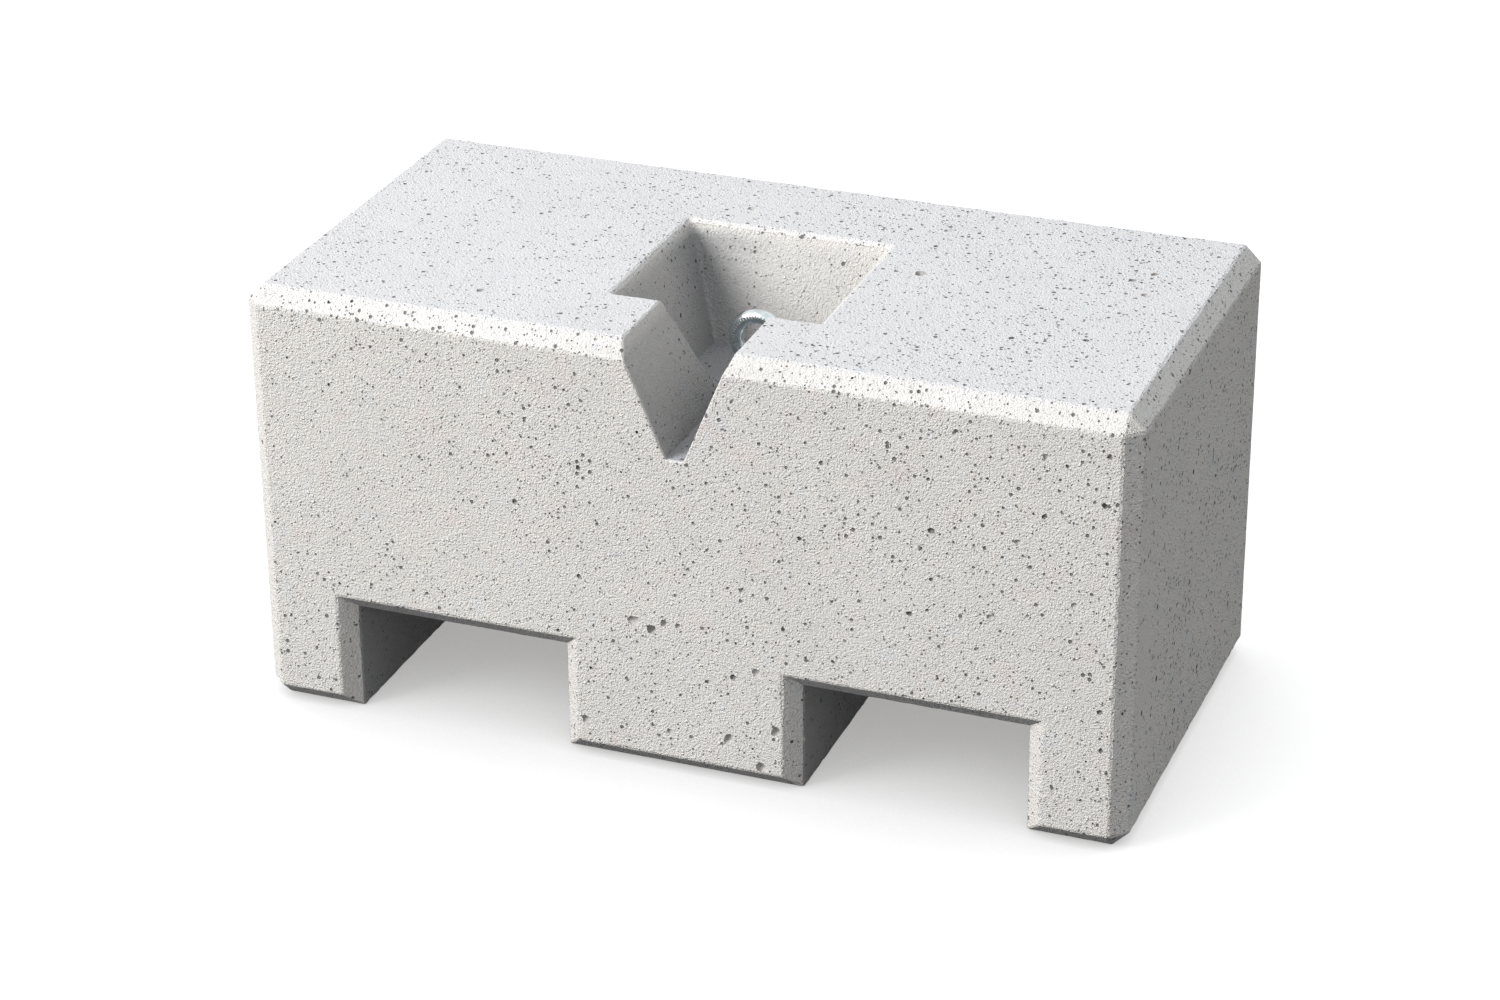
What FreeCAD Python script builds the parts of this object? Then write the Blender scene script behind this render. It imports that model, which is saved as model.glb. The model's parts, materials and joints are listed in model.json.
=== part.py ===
"""Precast concrete ballast block with fork channels, a recessed lifting eye and its cast-in socket.

Millimetres. The origin is the middle of the underside, X runs along the block, the side with the
notch faces -Y, and +Z is up. Each piece is written to its own STEP file in parts/.
"""

import FreeCAD, Part
import math
import os

Vector = FreeCAD.Vector
ALONG_Y = Vector(0, 1, 0)

# Block
block_length = 800.0
block_width = 400.0
block_height = 400.0
edge_chamfer = 15.0

# Two fork channels across the block, open underneath, with flared mouths front and back
channel_width = 200.0
channel_height = 100.0
channel_spacing = 420.0  # between the centre lines
mouth_flare = 15.0

# Pocket in the top: an upside-down cut-off pyramid, measured at the top face before its rim bevel
pocket_length = 190.0
pocket_width = 180.0
pocket_depth = 100.0
pocket_draft = 20.0  # degrees each wall leans out from vertical
pocket_shift = -12.0  # of the pocket's middle from the block's, towards the notch
pocket_front_radius = 11.0  # of the two upright corners beside the notch
pocket_back_radius = 6.0
rim_bevel = 3.5

# V-shaped notch from the front face into the pocket, with its floor level with the pocket's
notch_top_width = 100.0
notch_floor_width = 16.0

# Forged eye bolt, standing over the block's middle with its eye facing the notch
eye_diameter = 30.0
ring_bar = 13.0
eye_land = 2.4  # flat left by the trimmed flash round the inside of the eye
collar_diameter = 30.0
collar_height = 5.0
collar_edge = 1.0
neck_foot_diameter = 26.0
neck_top_diameter = 15.0
ring_above_seat = 0.5
shank_diameter = 12.0
shank_length = 20.5
shank_tip = 1.5

# Socket cast into the concrete under the eye bolt
socket_wall = 2.5
socket_clearance = 0.05  # radial, round the shank
socket_length = 60.0
socket_bore_depth = 32.0
socket_foot_diameter = 36.0
socket_foot_height = 6.0

overrun = 10.0  # how far a cutting shape runs past the face it opens

# Worked-out sizes
floor_z = block_height - pocket_depth
front_y = -block_width / 2
back_y = block_width / 2
eye_radius = eye_diameter / 2
ring_core_radius = eye_radius + ring_bar / 2
ring_bar_radius = math.hypot(ring_bar / 2, eye_land / 2)
eye_z = floor_z + ring_above_seat + ring_core_radius + ring_bar_radius
socket_bore_radius = shank_diameter / 2 + socket_clearance
socket_radius = socket_bore_radius + socket_wall


def rectangle(corners):
    """A closed wire through the corners, in order."""
    return Part.makePolygon(corners + corners[:1])


def loft(first, last):
    """A straight-sided solid between two wires."""
    return Part.makeLoft([first, last], True, True)


def make_body():
    """The plain block with every outer edge chamfered."""
    corner = Vector(-block_length / 2, front_y, 0)
    body = Part.makeBox(block_length, block_width, block_height, corner)
    return body.makeChamfer(edge_chamfer, body.Edges)


def make_channel(middle_x):
    """What one fork channel takes out: its straight run and the flare at each mouth."""

    def section(y, flare):
        half = channel_width / 2 + flare
        left, right = middle_x - half, middle_x + half
        top = channel_height + flare
        low = -overrun
        corners = [Vector(left, y, low), Vector(right, y, low), Vector(right, y, top), Vector(left, y, top)]
        return rectangle(corners)

    channel = loft(section(front_y - overrun, 0), section(back_y + overrun, 0))
    for face_y, inward in ((front_y, 1), (back_y, -1)):
        mouth = loft(section(face_y, mouth_flare), section(face_y + inward * mouth_flare, 0))
        channel = channel.fuse(mouth)
    return channel


def make_pocket():
    """What the pocket takes out: leaning walls, rounded corners and a bevelled rim."""
    lean = math.tan(math.radians(pocket_draft))

    def section(z, grow):
        out = lean * (z - block_height) + grow
        half_length = pocket_length / 2 + out
        half_width = pocket_width / 2 + out
        near, far = pocket_shift - half_width, pocket_shift + half_width
        corners = [
            Vector(-half_length, near, z),
            Vector(half_length, near, z),
            Vector(half_length, far, z),
            Vector(-half_length, far, z),
        ]
        return rectangle(corners)

    def rounded(solid):
        for side, radius in ((-1, pocket_front_radius), (1, pocket_back_radius)):
            corners = [
                edge
                for edge in solid.Edges
                if is_upright(edge) and side * (edge.CenterOfMass.y - pocket_shift) > 0
            ]
            solid = solid.makeFillet(radius, corners)
        return solid

    walls = rounded(loft(section(floor_z, 0), section(block_height + overrun, 0)))
    rim_low = section(block_height - rim_bevel, 0)
    rim_high = section(block_height + overrun, (rim_bevel + overrun) * (1 - lean))
    rim = rounded(loft(rim_low, rim_high))
    return walls.fuse(rim)


def is_upright(edge):
    """Whether an edge rises from one level to another."""
    heights = [vertex.Z for vertex in edge.Vertexes]
    return max(heights) - min(heights) > 1.0


def make_notch():
    """What the notch takes out of the wall between the pocket and the front face."""
    slope = (notch_top_width - notch_floor_width) / (2 * pocket_depth)
    half_floor = notch_floor_width / 2
    half_top = half_floor + slope * (pocket_depth + overrun)
    y = front_y - overrun
    top = block_height + overrun
    corners = [
        Vector(-half_floor, y, floor_z),
        Vector(half_floor, y, floor_z),
        Vector(half_top, y, top),
        Vector(-half_top, y, top),
    ]
    return Part.Face(rectangle(corners)).extrude(ALONG_Y * (pocket_shift - y))


def turned(outline):
    """A solid of revolution about the eye bolt's upright axis, from (radius, height) points."""
    points = [Vector(radius, 0, z) for radius, z in outline]
    return Part.Face(rectangle(points)).revolve(Vector(0, 0, 0), Vector(0, 0, 1), 360)


def make_socket_shape():
    """The outside of the cast-in socket: a tube on a round foot that anchors it."""
    foot_z = floor_z - socket_length
    tube = Part.makeCylinder(socket_radius, socket_length, Vector(0, 0, foot_z))
    foot = Part.makeCylinder(socket_foot_diameter / 2, socket_foot_height, Vector(0, 0, foot_z))
    return tube.fuse(foot).removeSplitter()


def make_socket():
    """The cast-in socket with its blind hole for the shank."""
    bore_z = floor_z - socket_bore_depth
    bore = Part.makeCylinder(socket_bore_radius, socket_bore_depth, Vector(0, 0, bore_z))
    return make_socket_shape().cut(bore)


def make_eye_bolt():
    """The eye bolt: ring, neck, collar and plain shank in one forging."""
    eye_centre = Vector(0, 0, eye_z)
    ring = Part.makeTorus(ring_core_radius, ring_bar_radius, eye_centre, ALONG_Y)
    collar_radius = collar_diameter / 2
    collar_top = floor_z + collar_height
    collar = turned([
        (0, floor_z),
        (collar_radius, floor_z),
        (collar_radius, collar_top - collar_edge),
        (collar_radius - collar_edge, collar_top),
        (0, collar_top),
    ])
    neck_height = eye_z - eye_radius - collar_top
    neck = Part.makeCone(
        neck_foot_diameter / 2, neck_top_diameter / 2, neck_height, Vector(0, 0, collar_top)
    )
    shank_radius = shank_diameter / 2
    shank_end = floor_z - shank_length
    shank = turned([
        (0, floor_z),
        (0, shank_end),
        (shank_radius - shank_tip, shank_end),
        (shank_radius, shank_end + shank_tip),
        (shank_radius, floor_z),
    ])
    reach = collar_diameter
    eye = Part.makeCylinder(eye_radius, 2 * reach, eye_centre - ALONG_Y * reach, ALONG_Y)
    return ring.fuse([neck, collar, shank]).cut(eye).removeSplitter()


def make_block():
    """The cast block: the body less the channels, pocket, notch and the room the socket takes."""
    cuts = [make_channel(side * channel_spacing / 2) for side in (-1, 1)]
    cuts += [make_pocket(), make_notch(), make_socket_shape()]
    return make_body().cut(cuts).removeSplitter()


def write(name, shape):
    """Writes one piece, after making sure that it is one sound solid."""
    if len(shape.Solids) != 1 or not shape.isValid():
        raise ValueError(name + " is not one valid solid")
    solid = shape.Solids[0]
    solid.exportStep("parts/" + name + ".step")
    print(name, "volume", round(solid.Volume), "mm3")


os.makedirs("parts", exist_ok=True)
write("concrete_block", make_block())
write("lifting_eye_bolt", make_eye_bolt())
write("threaded_socket", make_socket())
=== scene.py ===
"""Precast concrete ballast block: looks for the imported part, in the order in which the block is made."""

import json
import math
import random

import bmesh
import bpy
from mathutils import Matrix, Vector, noise

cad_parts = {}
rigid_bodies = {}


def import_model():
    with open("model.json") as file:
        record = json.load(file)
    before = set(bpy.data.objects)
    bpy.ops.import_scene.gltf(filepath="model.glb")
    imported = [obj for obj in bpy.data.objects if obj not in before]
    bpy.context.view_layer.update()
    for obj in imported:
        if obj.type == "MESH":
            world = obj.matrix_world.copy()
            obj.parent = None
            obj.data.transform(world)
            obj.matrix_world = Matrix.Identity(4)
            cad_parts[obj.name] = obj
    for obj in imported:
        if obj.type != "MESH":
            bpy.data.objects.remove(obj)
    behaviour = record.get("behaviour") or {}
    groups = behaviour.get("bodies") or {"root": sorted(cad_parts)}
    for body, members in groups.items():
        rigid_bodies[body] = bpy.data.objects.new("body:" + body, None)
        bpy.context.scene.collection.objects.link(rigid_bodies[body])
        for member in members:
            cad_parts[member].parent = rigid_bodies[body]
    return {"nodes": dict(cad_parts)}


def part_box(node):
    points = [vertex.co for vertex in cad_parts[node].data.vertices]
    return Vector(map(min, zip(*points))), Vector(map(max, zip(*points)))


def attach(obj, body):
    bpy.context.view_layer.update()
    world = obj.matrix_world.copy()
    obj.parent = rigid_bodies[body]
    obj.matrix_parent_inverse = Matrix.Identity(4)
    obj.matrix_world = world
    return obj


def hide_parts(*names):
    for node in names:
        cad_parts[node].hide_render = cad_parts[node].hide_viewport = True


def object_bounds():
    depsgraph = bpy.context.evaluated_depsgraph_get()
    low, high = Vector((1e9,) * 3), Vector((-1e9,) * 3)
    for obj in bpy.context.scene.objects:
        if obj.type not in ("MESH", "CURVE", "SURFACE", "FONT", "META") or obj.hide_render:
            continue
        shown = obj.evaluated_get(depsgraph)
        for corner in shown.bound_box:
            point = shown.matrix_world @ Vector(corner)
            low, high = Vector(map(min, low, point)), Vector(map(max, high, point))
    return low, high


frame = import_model()
cad_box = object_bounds()


# Threaded socket: a turned steel tube with a flanged foot, standing in the mould before the
# concrete is poured. Only its open end shows, round the foot of the eye bolt. Plain machined
# steel, a little dulled by the cement.

MACHINED_STEEL = (0.42, 0.42, 0.41)
CEMENT_BLOOM = (0.50, 0.49, 0.47)


class Wire:
    """One output of a node. Arithmetic on it adds Math nodes, and node() adds any other kind."""

    def __init__(self, tree, socket=None):
        self.tree = tree
        self.socket = socket

    def node(self, kind, settings, inputs, output=0):
        """Adds a node of any kind, with its settings and the values or wires of its inputs."""
        made = self.tree.nodes.new("ShaderNode" + kind)
        for name, setting in settings.items():
            setattr(made, name, setting)
        for name, value in inputs.items():
            if isinstance(value, Wire):
                self.tree.links.new(value.socket, made.inputs[name])
            else:
                made.inputs[name].default_value = value
        return Wire(self.tree, made.outputs[output])

    def also(self, output):
        """Another output of the same node."""
        return Wire(self.tree, self.socket.node.outputs[output])

    def math(self, operation, *values):
        return self.node("Math", {"operation": operation}, dict(enumerate(values)))

    def __add__(self, other):
        return self.math("ADD", self, other)

    def __radd__(self, other):
        return self.math("ADD", other, self)

    def __sub__(self, other):
        return self.math("SUBTRACT", self, other)

    def __rsub__(self, other):
        return self.math("SUBTRACT", other, self)

    def __mul__(self, other):
        return self.math("MULTIPLY", self, other)

    def __rmul__(self, other):
        return self.math("MULTIPLY", other, self)

    def __truediv__(self, other):
        return self.math("DIVIDE", self, other)

    def __neg__(self):
        return 0.0 - self

    def magnitude(self):
        return self.math("ABSOLUTE", self)

    def clamped(self):
        return self.node("Clamp", {}, {0: self})

    def between(self, low, high):
        """0 below low, 1 above high, and a smooth step between."""
        ends = {"Value": self, "From Min": low, "From Max": high}
        return self.node("MapRange", {"interpolation_type": "SMOOTHSTEP"}, ends)

    def tinted(self, base, other):
        """The colour base where this is 0, and other where it is 1."""
        first, second = [one if isinstance(one, Wire) else (*one, 1.0) for one in (base, other)]
        return self.node("Mix", {"data_type": "RGBA"}, {0: self, 6: first, 7: second}, 2)

    def brightened(self, share):
        """This colour times a share that varies."""
        return self.node("VectorMath", {"operation": "SCALE"}, {"Vector": self, "Scale": share})

    def clouds(self, scale, detail=2.0, roughness=0.5, distortion=0.0):
        """A cloud pattern over this place, from 0 to 1, with scale clouds a metre."""
        sizes = {"Scale": scale, "Detail": detail, "Roughness": roughness, "Distortion": distortion}
        return self.node("TexNoise", {}, {"Vector": self, **sizes})

    def moved(self, offset, stretch=(1.0, 1.0, 1.0)):
        """This place shifted and stretched, so that patterns don't repeat one another."""
        return self.node("Mapping", {}, {"Vector": self, "Location": offset, "Scale": stretch})


def new_finish(name):
    """A new material, its shader, and a wire with the object's own coordinates."""
    finish = bpy.data.materials.new(name)
    finish.use_nodes = True
    shader = finish.node_tree.nodes["Principled BSDF"]
    return finish, shader, Wire(finish.node_tree).node("TexCoord", {}, {}, 3)


def dress(shader, values):
    """Sets the shader's plain values and joins its varying ones."""
    for name, value in values.items():
        if isinstance(value, Wire):
            value.tree.links.new(value.socket, shader.inputs[name])
        else:
            shader.inputs[name].default_value = value


socket_finish, shader, place = new_finish("machined_steel")
bloom = place.clouds(90.0, 3.0, 0.6).between(0.45, 0.7)
turning_marks = place.moved((0.0, 0.0, 0.0), (1.0, 1.0, 14.0)).clouds(120.0)
dress(shader, {
    "Base Color": (0.7 * bloom).tinted(MACHINED_STEEL, CEMENT_BLOOM),
    "Metallic": 1.0 - 0.8 * bloom,
    "Roughness": 0.38 + 0.3 * bloom,
    "Normal": place.node("Bump", {}, {"Strength": 0.2, "Distance": 0.0002, "Height": turning_marks}),
})
threaded_socket = frame["nodes"]["threaded_socket"]
threaded_socket.data.materials.clear()
threaded_socket.data.materials.append(socket_finish)


# Block: vibrated grey concrete cast in a steel mould, with every arris chamfered, two fork channels
# underneath, and the pocket and notch in its top. Struck from the mould, its arrises are a little
# worn and nicked, and air trapped against the mould has left blowholes all over its skin.

ARRIS_WEAR = 0.0011  # width of the worn strip along an arris
ARRIS_WANDER = 0.0010  # how far its two sides stray
LONG_WEAR = 0.004
GRID_STEP = 0.0125  # spacing of the cuts that give the wear its corners
CLEAR_OF_ARRIS = 0.0035
BLOWHOLES = 1000
NICKS = 300
SEED = 41
COLLAR_COVER = 0.024  # radius that the eye bolt's collar hides
COLLAR_SEAT = 0.302
SMOOTH_ANGLE = math.radians(20)
CHANNEL_CENTRE = 0.21
CHANNEL_REACH = 0.101
CHANNEL_MOUTH = 0.186
POCKET_FLOOR = 0.295
POCKET_RIM_FADE = (0.385, 0.397)
POCKET_SIDE_FADE = (0.094, 0.099)
POCKET_BACK_FADE = (0.080, 0.084)
NOTCH_MOUTH_FADE = (-0.1992, -0.196)
POCKET_CORNER = (-0.085, 0.070)
CORNER_REACH = 0.085
FRONT_GREY = (0.645, 0.618, 0.580)
SKY_PAINTED_TOP_GREY = (0.645, 0.634, 0.630)
RUST_PINK = (0.660, 0.570, 0.545)
LIME_BLUE = (0.600, 0.625, 0.640)
PAINTED_SHADE_GREY = (0.560, 0.580, 0.620)
PAINTED_PORE_SHADE = (0.060, 0.056, 0.053)
BROKEN_GREY = (0.600, 0.575, 0.545)


def pinholes(place, cells, smallest, largest, crowding):
    """Open bubbles from smallest to largest radius, one to a cell: 0 on the skin, 1 in the deep."""
    near = place.node("TexVoronoi", {}, {"Vector": place, "Scale": cells})
    chance = near.also(1).node("SeparateColor", {}, {0: near.also(1)})
    kept = chance.also(1).math("LESS_THAN", chance.also(1), crowding)
    radius = (smallest + (largest - smallest) * chance * chance) * cells * kept + 0.0001
    return 1.0 - (near / radius).between(0.6, 1.0)


def concrete(name, relief, lightness):
    """Concrete skin: clouded grey with faint stains, fine wrinkles of paste, grit and pinholes painted dark
    for their shade. It has painted shade in the pocket and channels and on the foot arrises, with a cool
    painted tint there, painted cool sky light where it faces up, and a painted highlight along the top
    arrises."""
    finish, shader, place = new_finish(name)
    facing = place.also(1)
    slope = facing.node("SeparateXYZ", {}, {"Vector": facing}, 2)
    upward = slope.between(0.62, 0.92)
    top_arris = slope.between(0.45, 0.65) * (1.0 - slope.between(0.76, 0.92))
    foot_arris = (-slope).between(0.45, 0.65) * (1.0 - (-slope).between(0.76, 0.92))
    cloudy = 0.6 * place.clouds(9.0, 4.0, 0.55) + 0.4 * place.moved((3.0, 1.0, 2.0)).clouds(38.0, 4.0, 0.6)
    pink = place.moved((7.0, 2.0, 5.0)).clouds(42.0).between(0.60, 0.74) * (1.0 - upward)
    blue = place.moved((1.0, 8.0, 3.0)).clouds(36.0).between(0.58, 0.74)
    spots = place.node("SeparateXYZ", {}, {"Vector": place})
    along, over, up = spots, spots.also(1), spots.also(2)
    from_channel = (along.magnitude() - CHANNEL_CENTRE).magnitude()
    in_channel = from_channel.math("LESS_THAN", from_channel, CHANNEL_REACH)
    in_channel = in_channel * up.math("LESS_THAN", up, CHANNEL_REACH)
    in_channel = in_channel * over.math("LESS_THAN", over.magnitude(), CHANNEL_MOUTH)
    in_pocket = (1.0 - up.between(*POCKET_RIM_FADE)) * up.math("GREATER_THAN", up, POCKET_FLOOR)
    in_pocket = in_pocket * (1.0 - along.magnitude().between(*POCKET_SIDE_FADE))
    in_pocket = in_pocket * over.between(*NOTCH_MOUTH_FADE) * (1.0 - over.between(*POCKET_BACK_FADE))
    depth = (0.4 - up) * 10.0
    frontward = -facing.node("SeparateXYZ", {}, {"Vector": facing}, 1)
    turned_away = 1.0 - 0.6 * frontward.between(0.3, 0.8)
    # Painted shade: darker in the pocket, more so towards its floor and less on faces turned to the front,
    # and darker in the channels.
    painted_shading = 1.0 - in_pocket * turned_away * (0.16 + 0.24 * depth) - 0.36 * in_channel
    # Painted shade in the pocket's back left corner.
    beside, behind = along - POCKET_CORNER[0], over - POCKET_CORNER[1]
    from_corner = along.math("SQRT", beside * beside + behind * behind)
    painted_shading = painted_shading * (1.0 - 0.38 * in_pocket * (1.0 - from_corner.between(0.0, CORNER_REACH)))
    # Painted highlight along the arrises that face up, and painted shade on the arrises that face down.
    painted_shading = painted_shading * (1.0 + 0.07 * top_arris - 0.40 * foot_arris)
    crowding = 0.06 + 0.40 * place.moved((4.0, 4.0, 9.0)).clouds(7.0).between(0.38, 0.65) + 0.42 * along
    crowding = crowding + 0.35 * top_arris
    holes = pinholes(place, 170.0, 0.0006, 0.0022, crowding + 0.20 * upward)
    speckled = 0.2 + 0.8 * crowding + 0.12 * upward
    specks = pinholes(place.moved((0.3, 0.5, 0.7)), 300.0, 0.0003, 0.0013, speckled)
    pitted = holes.math("MAXIMUM", holes, 0.9 * specks)
    grit = pinholes(place.moved((0.9, 0.2, 0.4)), 240.0, 0.0006, 0.0019, 0.55)
    # The cooler grey where the skin faces up is painted sky light.
    grey = upward.tinted(FRONT_GREY, SKY_PAINTED_TOP_GREY)
    grey = (0.4 * pink).tinted(grey, RUST_PINK)
    grey = (0.4 * blue).tinted(grey, LIME_BLUE)
    # Where the shade is painted, the grey is also painted a cooler shade colour.
    grey = (0.9 * (1.0 - painted_shading)).clamped().tinted(grey, PAINTED_SHADE_GREY)
    grain = place.moved((2.0, 6.0, 4.0)).clouds(430.0, 3.0, 0.75)
    grey = grey.brightened(painted_shading * lightness * (0.70 + 0.16 * cloudy + 0.44 * grain + 0.15 * grit))
    wrinkles = 0.45 * place.clouds(380.0, 3.0, 0.6, 0.2)
    wrinkles = wrinkles + 0.55 * place.moved((5.0, 3.0, 1.0)).clouds(600.0, 2.0, 0.6, 0.3)
    height = 0.6 * relief * (1.0 - 0.25 * upward) * wrinkles + 0.20 * grit - 0.3 * pitted
    dress(shader, {
        # The pinholes are painted dark for the shade inside them.
        "Base Color": (0.8 * pitted).tinted(grey, PAINTED_PORE_SHADE),
        "Roughness": 0.84 + 0.1 * cloudy,
        "Specular IOR Level": 0.25,
        "Normal": place.node("Bump", {}, {"Strength": 1.0, "Distance": 0.0056, "Height": height}),
    })
    return finish


def lining(name, paleness):
    """The rough inside of a blowhole, painted dark for its shade in a deep one and pale where the skin is
    broken.
    """
    finish, shader, place = new_finish(name)
    crumbs = place.clouds(900.0, 2.0, 0.7)
    dress(shader, {
        "Base Color": (crumbs + paleness).clamped().tinted(PAINTED_PORE_SHADE, BROKEN_GREY),
        "Roughness": 0.95,
        "Specular IOR Level": 0.1,
        "Normal": place.node("Bump", {}, {"Strength": 0.6, "Distance": 0.0004, "Height": crumbs}),
    })
    return finish


def work_on(piece):
    """Leaves piece alone selected and active."""
    for other in bpy.context.view_layer.objects:
        other.select_set(False)
    piece.select_set(True)
    bpy.context.view_layer.objects.active = piece


def edit(piece, kind="FACE"):
    """Opens piece in edit mode with all of it selected."""
    work_on(piece)
    bpy.ops.object.mode_set(mode="EDIT")
    bpy.ops.mesh.select_mode(type=kind)
    bpy.ops.mesh.select_all(action="SELECT")


def close():
    bpy.ops.object.mode_set(mode="OBJECT")


def choose(piece, kind, wanted):
    """In edit mode, leaves only the corners, edges or faces that wanted() picks selected."""
    bpy.ops.mesh.select_mode(type=kind)
    bpy.ops.mesh.select_all(action="DESELECT")
    shape = bmesh.from_edit_mesh(piece.data)
    for part in {"VERT": shape.verts, "EDGE": shape.edges, "FACE": shape.faces}[kind]:
        if wanted(part):
            part.select_set(True)
    bmesh.update_edit_mesh(piece.data)


def apply(piece, kind, **settings):
    """Adds a modifier to piece and applies it."""
    work_on(piece)
    modifier = piece.modifiers.new(kind.lower(), kind)
    for name, value in settings.items():
        setattr(modifier, name, value)
    bpy.ops.object.modifier_apply(modifier=modifier.name)


def join(pieces):
    """Joins pieces into the first of them."""
    work_on(pieces[0])
    for piece in pieces:
        piece.select_set(True)
    bpy.ops.object.join()


def put_in_order(piece):
    """Rebuilds piece with its corners and faces sorted by place, so that every run draws the same."""
    old = piece.data
    by_place = sorted(range(len(old.vertices)), key=lambda index: tuple(old.vertices[index].co))
    rank = {index: position for position, index in enumerate(by_place)}
    faces = []
    for face in old.polygons:
        ring = [rank[index] for index in face.vertices]
        first = ring.index(min(ring))
        faces.append((ring[first:] + ring[:first], face.material_index))
    faces.sort()
    ordered = bpy.data.meshes.new(piece.name)
    ordered.from_pydata([old.vertices[index].co for index in by_place], [], [ring for ring, _ in faces])
    for finish in old.materials:
        ordered.materials.append(finish)
    for face, (_, material_index) in zip(ordered.polygons, faces):
        face.material_index = material_index
    piece.data = ordered
    bpy.data.meshes.remove(old)


def under_collar(point):
    """Whether a point lies round the socket's hole, which the eye bolt's collar covers."""
    return math.hypot(point.x, point.y) < COLLAR_COVER and point.z < COLLAR_SEAT


def is_arris(edge):
    """Whether an edge is an outside corner of more than 20 degrees that shows."""
    turn = edge.calc_face_angle_signed(0.0)
    return turn > SMOOTH_ANGLE and not any(under_collar(end.co) for end in edge.verts)


def is_long_wear(edge):
    """Whether an edge runs along a worn arris."""
    return edge.calc_length() > LONG_WEAR and any(face.material_index for face in edge.link_faces)


block = bpy.data.objects.new("cast_block", frame["nodes"]["concrete_block"].data.copy())
bpy.context.scene.collection.objects.link(block)
block.data.materials.clear()
block.data.materials.append(concrete("concrete_skin", 1.0, 1.0))
block.data.materials.append(concrete("worn_arris", 1.4, 1.05))
edit(block, "EDGE")
bpy.ops.mesh.customdata_custom_splitnormals_clear()
bpy.ops.mesh.remove_doubles(threshold=0.00001)
bpy.ops.mesh.dissolve_limited(angle_limit=math.radians(0.5))
choose(block, "EDGE", is_arris)
bpy.ops.mesh.bevel(offset=ARRIS_WEAR, segments=2, affect="EDGES", clamp_overlap=False, material=1)
bpy.ops.mesh.select_all(action="SELECT")
bpy.ops.mesh.vert_connect_concave()

low, high = cad_box
corners = [corner.co.copy() for corner in bmesh.from_edit_mesh(block.data).verts]
for axis in range(3):
    across = Vector((0.0, 0.0, 0.0))
    across[axis] = 1.0
    for cut in range(1, round((high[axis] - low[axis]) / GRID_STEP)):
        at = low[axis] + cut * GRID_STEP
        if min(abs(corner[axis] - at) for corner in corners) > CLEAR_OF_ARRIS:
            bpy.ops.mesh.select_all(action="SELECT")
            bpy.ops.mesh.bisect(plane_co=across * at, plane_no=across)
choose(block, "EDGE", is_long_wear)
bpy.ops.mesh.subdivide(number_cuts=3, ngon=True)

# The middle line of each arris is knocked back, and its two sides wander into the faces they join.
shape = bmesh.from_edit_mesh(block.data)
shape.normal_update()
moves = []
for corner in shape.verts:
    worn = [face.normal for face in corner.link_faces if face.material_index]
    whole = [face.normal for face in corner.link_faces if not face.material_index]
    rough = max(0.0, noise.noise(corner.co * 90.0) + 0.6 * noise.noise(corner.co * 300.0) + 0.25)
    if worn and not whole:
        moves.append((corner, -0.7 * ARRIS_WEAR * rough * corner.normal))
    elif worn and all(normal.dot(whole[0]) > 0.9999 for normal in whole):
        towards = sum(worn, Vector()).normalized()
        away = towards.dot(whole[0]) * whole[0] - towards
        if away.length > 0.05:
            moves.append((corner, ARRIS_WANDER * rough * away.normalized()))
for corner, move in moves:
    corner.co += move
bmesh.update_edit_mesh(block.data)
close()
put_in_order(block)

# Each blowhole is a squashed bubble that was against the mould. The largest gather low on the middle
# leg and by the right-hand leg, where the air couldn't rise past a channel, with a few on the top and
# some on the ends, drawn out as the air crept upwards.
chance = random.Random(SEED)
block.data.calc_loop_triangles()
triangles = [t for t in block.data.loop_triangles if not under_collar(Vector(t.center))]
patterns = {}
for name, paleness, fineness in (("pore", -0.25, 2), ("pit", 0.20, 4), ("nick", 0.55, 2)):
    bpy.ops.mesh.primitive_ico_sphere_add(subdivisions=fineness, radius=1.0)
    patterns[name] = bpy.context.object
    patterns[name].data.materials.append(lining(name + "_lining", paleness))
bubbles = []
taken = []


def add_bubble(at, normal, size, kind, sink, longer=1.0):
    """Puts one bubble at a point of the skin, unless it would touch one that is there."""
    if any((at - other).length < 0.62 * (size * longer + other_size) for other, other_size in taken):
        return
    taken.append((at, size * longer))
    bubble = bpy.data.objects.new("bubble", patterns[kind].data.copy())
    bpy.context.scene.collection.objects.link(bubble)
    wide = 0.5 * size * chance.uniform(0.7, 1.0)
    tall = 0.5 * size * longer * chance.uniform(0.85, 1.1)
    deep = 0.5 * size * chance.uniform(0.75, 1.1)
    for corner in bubble.data.vertices:
        corner.co *= 1.0 + 0.32 * noise.noise(corner.co * 1.1 + at * 900.0)
    facing = normal.to_track_quat("Z", "Y").to_matrix().to_4x4()
    turn = chance.uniform(0.0, math.tau) if longer == 1.0 else chance.uniform(-0.3, 0.3)
    spun = facing @ Matrix.Rotation(turn, 4, "Z")
    placed = Matrix.Translation(at - normal * deep * sink)
    bubble.data.transform(placed @ spun @ Matrix.Diagonal((wide, tall, deep, 1.0)))
    bubbles.append(bubble)


def spread(count, chosen, kind, smallest, largest, steepness, longer=1.0):
    """Spreads bubbles over the chosen triangles, most of them near the smallest size."""
    areas = [triangle.area * (1.0 + 1.2 * triangle.center[0]) for triangle in chosen]
    for triangle in chance.choices(chosen, areas, k=count):
        a, b, c = [block.data.vertices[index].co for index in triangle.vertices]
        u, v = sorted((chance.random(), chance.random()))
        at = a * u + b * (v - u) + c * (1.0 - v)
        size = smallest * (1.0 - chance.random()) ** (-1.0 / steepness)
        add_bubble(at, Vector(triangle.normal), min(size, largest), kind, chance.uniform(-0.25, 0.35), longer)


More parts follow.
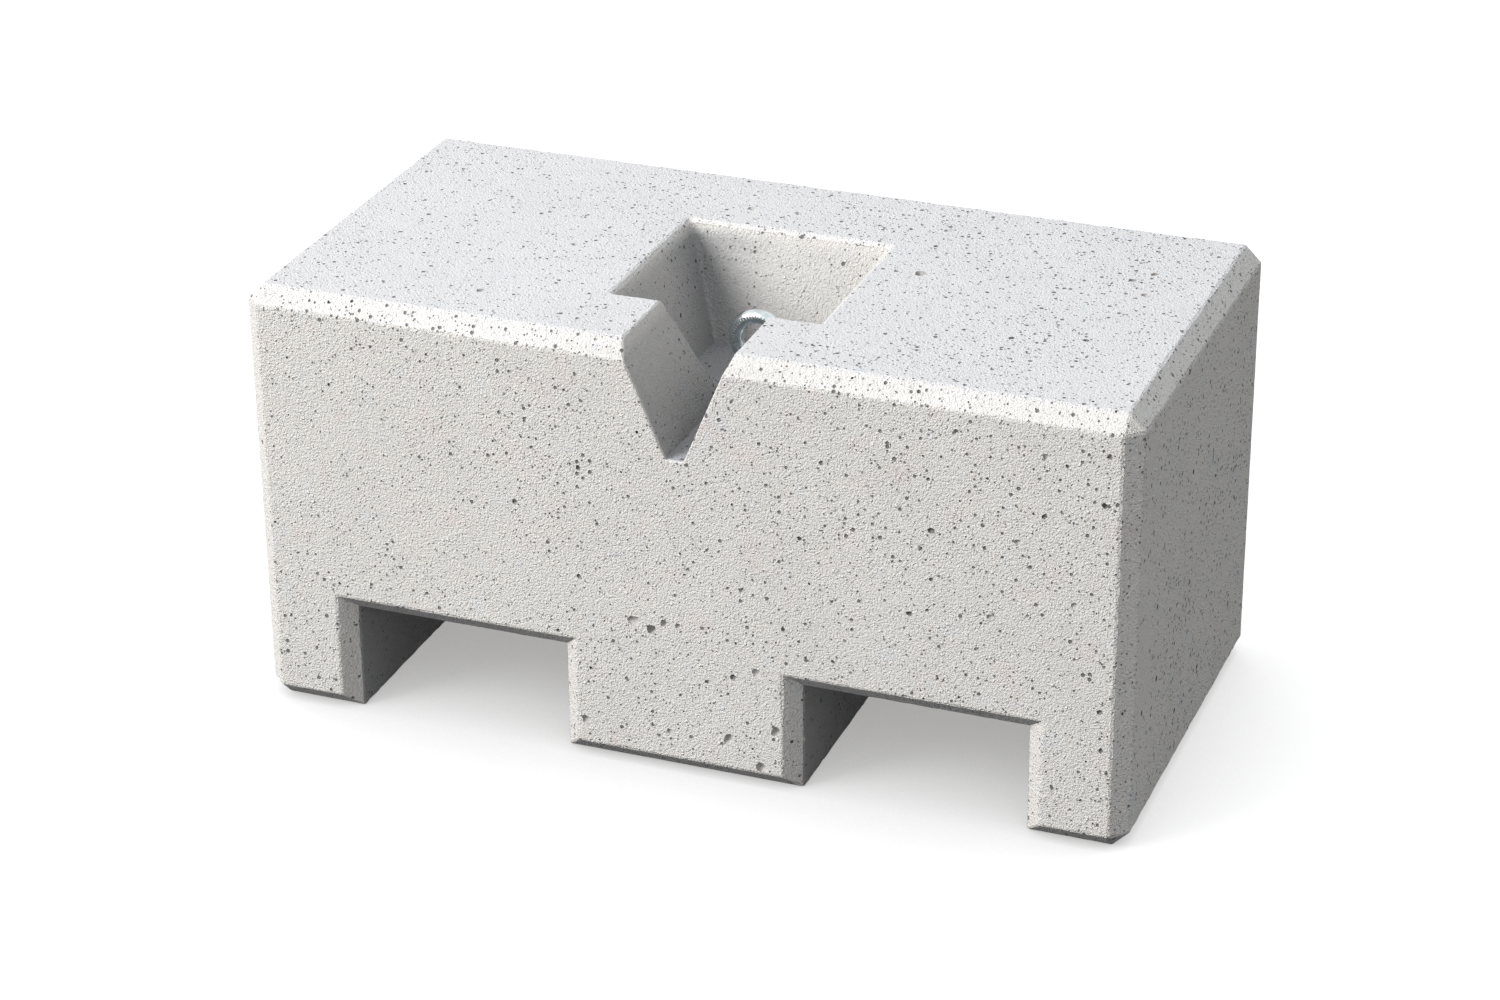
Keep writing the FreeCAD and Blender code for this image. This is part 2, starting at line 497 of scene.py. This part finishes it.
notched_side = [triangle for triangle in triangles if triangle.normal[1] < -0.99]
middle_leg = [t for t in notched_side if abs(t.center[0]) < 0.085 and t.center[2] < 0.17]
right_side = [t for t in notched_side if t.center[0] > 0.24]
top = [triangle for triangle in triangles if triangle.normal[2] > 0.99 and triangle.center[2] > 0.39]
ends = [t for t in triangles if abs(t.normal[0]) > 0.99 and abs(t.center[0]) > 0.39]
spread(11, middle_leg, "pit", smallest=0.0052, largest=0.0100, steepness=2.2)
spread(7, right_side, "pit", smallest=0.0045, largest=0.0060, steepness=3.0)
spread(7, top, "pit", smallest=0.0060, largest=0.0110, steepness=2.4)
spread(7, ends, "pit", smallest=0.0034, largest=0.0046, steepness=4.0, longer=2.2)
worn_triangles = [triangle for triangle in triangles if triangle.material_index]
spread(BLOWHOLES, triangles, "pore", smallest=0.0019, largest=0.0060, steepness=3.0)
spread(NICKS, worn_triangles, "nick", smallest=0.0014, largest=0.0040, steepness=2.6)
join(bubbles)
apply(
    block, "BOOLEAN", operation="DIFFERENCE", object=bubbles[0], solver="MANIFOLD", material_mode="TRANSFER"
)
for used in (bubbles[0], *patterns.values()):
    bpy.data.objects.remove(used)
work_on(block)
bpy.ops.object.shade_smooth_by_angle(angle=SMOOTH_ANGLE)
edit(block, "EDGE")
choose(block, "EDGE", lambda edge: len({face.material_index for face in edge.link_faces}) > 1)
bpy.ops.mesh.mark_sharp()
close()
apply(block, "WEIGHTED_NORMAL", keep_sharp=True)
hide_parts("concrete_block")
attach(block, "root")


# Eye bolt: drop-forged steel, zinc plated, screwed down into the socket until its collar bears on
# the pocket's floor. The forging leaves it full and rounded where the ring meets the collar, with
# short hammer ripples along the ring's flank.

EYE_RADIUS = 0.015
RING_CORE_RADIUS = 0.0215
RING_BAR_RADIUS = 0.00661
COLLAR_RADIUS = 0.015
SHANK_RADIUS = 0.006
TIP_CHAMFER = 0.0015
FORGING_GRAIN = 0.0006  # size of the steps in which the ring and stem are blended
ZINC_BRIGHT = (0.70, 0.76, 0.78)
ZINC_DULL = (0.36, 0.43, 0.46)

bolt_low, bolt_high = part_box("lifting_eye_bolt")
seat = 0.3  # height of the pocket's floor
eye_z = bolt_high.z - RING_CORE_RADIUS - RING_BAR_RADIUS
bpy.ops.mesh.primitive_torus_add(
    location=(0.0, 0.0, eye_z), rotation=(math.pi / 2, 0.0, 0.0), major_segments=80, minor_segments=36,
    major_radius=RING_CORE_RADIUS, minor_radius=RING_BAR_RADIUS,
)
bolt = bpy.context.object
bolt.name = "eye_bolt"
bpy.ops.object.transform_apply(location=True, rotation=True, scale=True)
bpy.ops.mesh.primitive_cylinder_add(
    vertices=64, radius=SHANK_RADIUS, depth=seat - bolt_low.z, location=(0.0, 0.0, (seat + bolt_low.z) / 2)
)
stem = bpy.context.object
bpy.ops.object.transform_apply(location=True, rotation=True, scale=True)


def grow(height, radius, was):
    """Draws the chosen end face up by height and brings it from the radius it was to a new one."""
    bpy.ops.mesh.extrude_region_move(TRANSFORM_OT_translate={"value": (0.0, 0.0, height)})
    bpy.ops.transform.resize(value=(radius / was, radius / was, 1.0), center_override=(0.0, 0.0, seat))


edit(stem)
choose(stem, "FACE", lambda face: face.normal.z > 0.9)
# Each step of the collar and neck: its height, and the radius that it draws in or out to.
profile = [(0.0, COLLAR_RADIUS), (0.0042, COLLAR_RADIUS), (0.0008, 0.0140), (0.0, 0.0128)]
profile += [(0.0020, 0.0108), (0.0025, 0.0091), (0.0035, 0.0078)]
radius = SHANK_RADIUS
for height, wider in profile:
    grow(height, wider, radius)
    radius = wider
choose(stem, "EDGE", lambda edge: max(end.co.z for end in edge.verts) < bolt_low.z + 0.0001)
bpy.ops.mesh.bevel(offset=TIP_CHAMFER, segments=1, affect="EDGES")
close()
join([bolt, stem])
apply(bolt, "REMESH", mode="VOXEL", voxel_size=FORGING_GRAIN)
apply(bolt, "SMOOTH", factor=0.5, iterations=6)
bpy.ops.mesh.primitive_cylinder_add(
    vertices=128, radius=EYE_RADIUS, depth=0.03, location=(0.0, 0.0, eye_z), rotation=(math.pi / 2, 0.0, 0.0)
)
eye = bpy.context.object
apply(bolt, "BOOLEAN", operation="DIFFERENCE", object=eye, solver="MANIFOLD")
bpy.data.objects.remove(eye)
work_on(bolt)
bpy.ops.object.shade_smooth_by_angle(angle=math.radians(30))

zinc, shader, place = new_finish("zinc_plate")
about_eye = place.moved((0.0, 0.0, -eye_z))
parts = about_eye.node("SeparateXYZ", {}, {"Vector": about_eye})
across, up = parts, parts.also(2)
angle = across.math("ARCTAN2", up, across)
reach = across.math("SQRT", across * across + up * up)
flank = (reach - 0.0205).between(0.0, 0.0016) * (1.0 - (reach - 0.0225).between(0.0, 0.0020))
ripples = across.math("SINE", 52.0 * angle + 5.0 * place.clouds(160.0)) * flank
dull = place.clouds(140.0, 3.0, 0.6).between(0.40, 0.70)
skin = 0.60 * ripples + 0.5 * place.clouds(420.0, 2.0, 0.5)
dress(shader, {
    "Base Color": (0.6 * dull).tinted(ZINC_BRIGHT, ZINC_DULL),
    "Metallic": 1.0,
    "Roughness": 0.20 + 0.16 * dull,
    "Normal": place.node("Bump", {}, {"Strength": 0.5, "Distance": 0.0006, "Height": skin}),
})
bolt.data.materials.clear()
bolt.data.materials.append(zinc)
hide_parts("lifting_eye_bolt")
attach(bolt, "root")


# Studio: the block stands on a white floor, under one large soft lamp on its front left and an even
# pale sky. The floor looks white to the eye but throws little light back on the block.

FLOOR_GREY = 0.12
LAMP_FROM = Vector((-0.61, -0.60, 0.52))
LAMP_DISTANCE = 9.0
LAMP_SIZE = 4.2
LAMP_STRENGTH = 1.31
WALLS_STRENGTH = 0.74
CEILING_STRENGTH = 0.82
SKY_TINT = (0.92, 0.955, 1.0, 1.0)

bpy.ops.mesh.primitive_plane_add(size=30.0, location=(0.0, 0.0, -0.0004))
floor = bpy.context.object
floor.name = "studio_floor"
floor_finish = bpy.data.materials.new("studio_floor")
floor_finish.use_nodes = True
tree = floor_finish.node_tree
tree.nodes.clear()
wires = Wire(tree)
ray = wires.node("LightPath", {}, {})
seen = (ray + ray.also("Is Glossy Ray") + ray.also("Is Transmission Ray")).between(0.0, 1.0)
dark = wires.node("BsdfDiffuse", {}, {"Color": (FLOOR_GREY, FLOOR_GREY, FLOOR_GREY, 1.0)})
pale = wires.node("BsdfDiffuse", {}, {"Color": (0.14, 0.14, 0.14, 1.0)})
open_floor = wires.node("Emission", {}, {"Color": (1.0, 1.0, 1.0, 1.0), "Strength": 0.97})
# Where the block hides the floor from the sky, its glow comes down to a dimmer level: the floor's shadow
# round and under the block is painted from ambient occlusion.
painted_shadow_glow = wires.node("Emission", {}, {"Color": (1.0, 0.985, 0.97, 1.0), "Strength": 0.35})
openness = 1.25 * wires.node("AmbientOcclusion", {"samples": 8}, {"Distance": 0.30}, 1)
glow = wires.node("MixShader", {}, {0: openness.clamped(), 1: painted_shadow_glow, 2: open_floor})
lit = wires.node("AddShader", {}, {0: pale, 1: glow})
shown = wires.node("MixShader", {}, {0: seen, 1: dark, 2: lit})
output = tree.nodes.new("ShaderNodeOutputMaterial")
tree.links.new(shown.socket, output.inputs["Surface"])
floor.data.materials.append(floor_finish)

world = bpy.data.worlds.new("studio")
bpy.context.scene.world = world
world.use_nodes = True
tree = world.node_tree
tree.nodes.clear()
wires = Wire(tree)
ray = wires.node("LightPath", {}, {})
seen = (ray + ray.also("Is Glossy Ray") + ray.also("Is Transmission Ray")).between(0.0, 1.0)
heading = wires.node("TexCoord", {}, {})
height = heading.node("SeparateXYZ", {}, {"Vector": heading}, 2)
walls = wires.node("Background", {}, {"Color": SKY_TINT, "Strength": WALLS_STRENGTH})
ceiling = wires.node("Background", {}, {"Color": SKY_TINT, "Strength": CEILING_STRENGTH})
sky = wires.node("MixShader", {}, {0: height.clamped(), 1: walls, 2: ceiling})
backdrop = wires.node("Background", {}, {"Color": (1.0, 1.0, 1.0, 1.0), "Strength": 1.0})
shown = wires.node("MixShader", {}, {0: seen, 1: sky, 2: backdrop})
output = tree.nodes.new("ShaderNodeOutputWorld")
tree.links.new(shown.socket, output.inputs["Surface"])

lamp = bpy.data.lights.new("softbox", "AREA")
lamp.shape = "DISK"
lamp.size = LAMP_SIZE
lamp.energy = LAMP_STRENGTH * math.pi ** 2 * LAMP_DISTANCE ** 2
softbox = bpy.data.objects.new("softbox", lamp)
bpy.context.scene.collection.objects.link(softbox)
softbox.location = Vector((0.0, 0.0, 0.25)) + LAMP_FROM.normalized() * LAMP_DISTANCE
softbox.rotation_euler = LAMP_FROM.to_track_quat("Z", "Y").to_euler()
softbox.visible_camera = False

CAMERA_LENS = 91.1
CAMERA_DISTANCE = 3.375
CAMERA_SIDESTEP = -0.009
CAMERA_DROP = 0.0255
AZIMUTH = math.radians(21.2)
ELEVATION = math.radians(26.25)
ROLL = math.radians(-0.5)
back = Vector((
    math.sin(AZIMUTH) * math.cos(ELEVATION), -math.cos(AZIMUTH) * math.cos(ELEVATION), math.sin(ELEVATION)
))
level_right = Vector((math.cos(AZIMUTH), math.sin(AZIMUTH), 0.0))
level_up = back.cross(level_right)
right = math.cos(ROLL) * level_right + math.sin(ROLL) * level_up
up = math.cos(ROLL) * level_up - math.sin(ROLL) * level_right
camera = bpy.data.objects.new("camera", bpy.data.cameras.new("camera"))
bpy.context.scene.collection.objects.link(camera)
camera.data.sensor_width = 36.0
camera.data.lens = CAMERA_LENS
stand = Vector((0.0, 0.0, 0.2)) + CAMERA_DISTANCE * back + CAMERA_SIDESTEP * right - CAMERA_DROP * up
camera.matrix_world = Matrix.Translation(stand) @ Matrix((right, up, back)).transposed().to_4x4()
bpy.context.scene.camera = camera
bpy.context.scene.view_settings.view_transform = "Standard"
